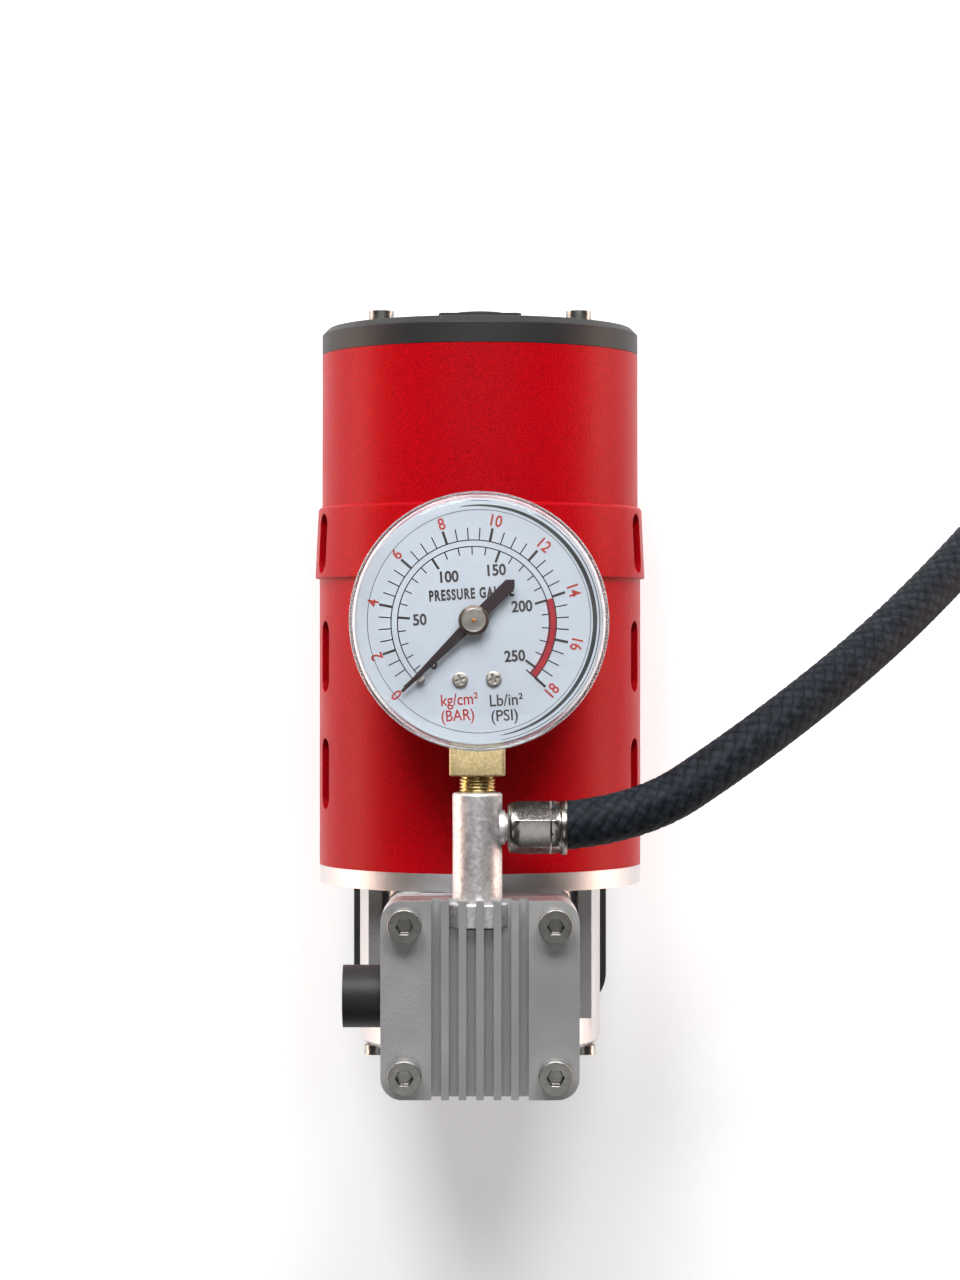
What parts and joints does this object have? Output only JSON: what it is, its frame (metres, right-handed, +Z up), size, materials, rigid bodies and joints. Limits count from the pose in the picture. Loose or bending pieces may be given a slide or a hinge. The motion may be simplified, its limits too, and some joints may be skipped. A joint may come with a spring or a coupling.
{
  "type": "air compressor",
  "caption": "Small 12 V piston air compressor: motor in a red slotted sleeve, finned cylinder, dial gauge on a brass stem and a braided hose with a lever chuck.",
  "frame": {"origin": "on the ground under the middle of the compressor, without its hose", "axes": "+Z up, +Y from the cylinder to the motor's tail, +X to the side where the hose leaves"},
  "size_m": [0.2936, 0.1706, 0.118],
  "materials": {
    "red_plastic": "fine grain, semi-gloss",
    "black_plastic": "fine texture",
    "rocker_plastic": "smooth",
    "gauge_black": "satin",
    "zinc_steel": "zinc plated",
    "bright_steel": "ground",
    "plain_steel": "plain",
    "ferrite": "sintered",
    "copper": "enamelled",
    "brass": "machined",
    "cast_aluminium": "die cast",
    "satin_zinc": "satin plated casting",
    "nickel": "pressed, polished",
    "gasket": "fibre",
    "dial_white": "printed",
    "hand_dark": "painted",
    "clear_lens": "clear moulded",
    "hose_braid": "textile braid",
    "rubber": "moulded",
    "lever_plastic": "moulded",
    "filter_plastic": "moulded",
    "base_paint": "powder coat"
  },
  "bodies": {
    "frame": {"front_housing": "red_plastic", "rear_cover": "red_plastic", "tail_cap": "black_plastic", "case_screws": "zinc_steel", "switch_bezel": "black_plastic", "cord_gland": "black_plastic", "motor_can": "plain_steel", "field_magnets": "ferrite", "end_bell": "black_plastic", "brushes": "ferrite", "brush_springs": "plain_steel", "front_bearing": "bright_steel", "rear_bush": "brass", "crankcase": "cast_aluminium", "crankcase_cover": "cast_aluminium", "cylinder_barrel": "cast_aluminium", "valve_plate": "bright_steel", "reed_valves": "bright_steel", "head_gasket": "gasket", "cylinder_head": "cast_aluminium", "head_screws": "zinc_steel", "intake_cap": "filter_plastic", "outlet_post": "satin_zinc", "gauge_stem": "brass", "gauge_case": "gauge_black", "gauge_lens": "clear_lens", "gauge_dial": "dial_white", "dial_screws": "zinc_steel", "stop_pin": "bright_steel", "movement_frame": "brass", "bourdon_tube": "brass", "hose_ferrule": "nickel", "air_hose": "hose_braid", "air_hose_coil": "hose_braid", "chuck_ferrule": "nickel", "chuck_body": "satin_zinc", "chuck_seal": "rubber", "chuck_pin": "zinc_steel", "base_plate": "base_paint", "rear_saddle": "black_plastic", "rubber_feet": "rubber", "base_screws": "zinc_steel"},
    "rotor": {"motor_shaft": "bright_steel", "armature_core": "plain_steel", "windings": "copper", "commutator": "copper", "cooling_fan": "black_plastic", "crank_disc": "plain_steel"},
    "piston_set": {"piston": "cast_aluminium", "piston_ring": "gasket", "wrist_pin": "bright_steel"},
    "rod": {"connecting_rod": "cast_aluminium", "crank_bearing": "bright_steel", "crank_pin": "bright_steel"},
    "hand": {"pointer": "hand_dark", "pointer_hub": "bright_steel", "pinion_arbor": "brass"},
    "sector": {"sector_gear": "brass"},
    "rocker": {"switch_rocker": "rocker_plastic"},
    "lever": {"chuck_lever": "lever_plastic"}
  },
  "joints": [
    {"name": "rotor_spin", "type": "hinge", "parent": "frame", "child": "rotor", "pos_m": [0, 0, 0.05], "axis": [0, 1, 0], "continuous": true},
    {"name": "piston_slide", "type": "slide", "parent": "frame", "child": "piston_set", "axis": [0, 0, 1], "range_m": [0, 0.016]},
    {"name": "rod_swing", "type": "hinge", "parent": "piston_set", "child": "rod", "pos_m": [0, -0.065, 0.072], "axis": [0, 1, 0], "range_deg": [-15.5, 15.5]},
    {"name": "pointer_sweep", "type": "hinge", "parent": "frame", "child": "hand", "pos_m": [-0.0013, 0.0132, 0.1132], "axis": [0, 0, -1], "range_deg": [0, 264], "stiffness_Nm_per_rad": 0.00001},
    {"name": "sector_turn", "type": "hinge", "parent": "frame", "child": "sector", "pos_m": [0.0092, 0.0132, 0.102], "axis": [0, 0, -1], "range_deg": [-44, 0]},
    {"name": "switch_rock", "type": "hinge", "parent": "frame", "child": "rocker", "pos_m": [0, 0.078, 0.062], "axis": [-1, 0, 0], "range_deg": [0, 16]},
    {"name": "chuck_lever_lift", "type": "hinge", "parent": "frame", "child": "lever", "pos_m": [0.249, -0.041, 0.0182], "axis": [1, 0, 0], "range_deg": [0, 90]}
  ],
  "couplings": [
    {"joint": "sector_turn", "follows": "pointer_sweep", "ratio": -0.16667}
  ]
}
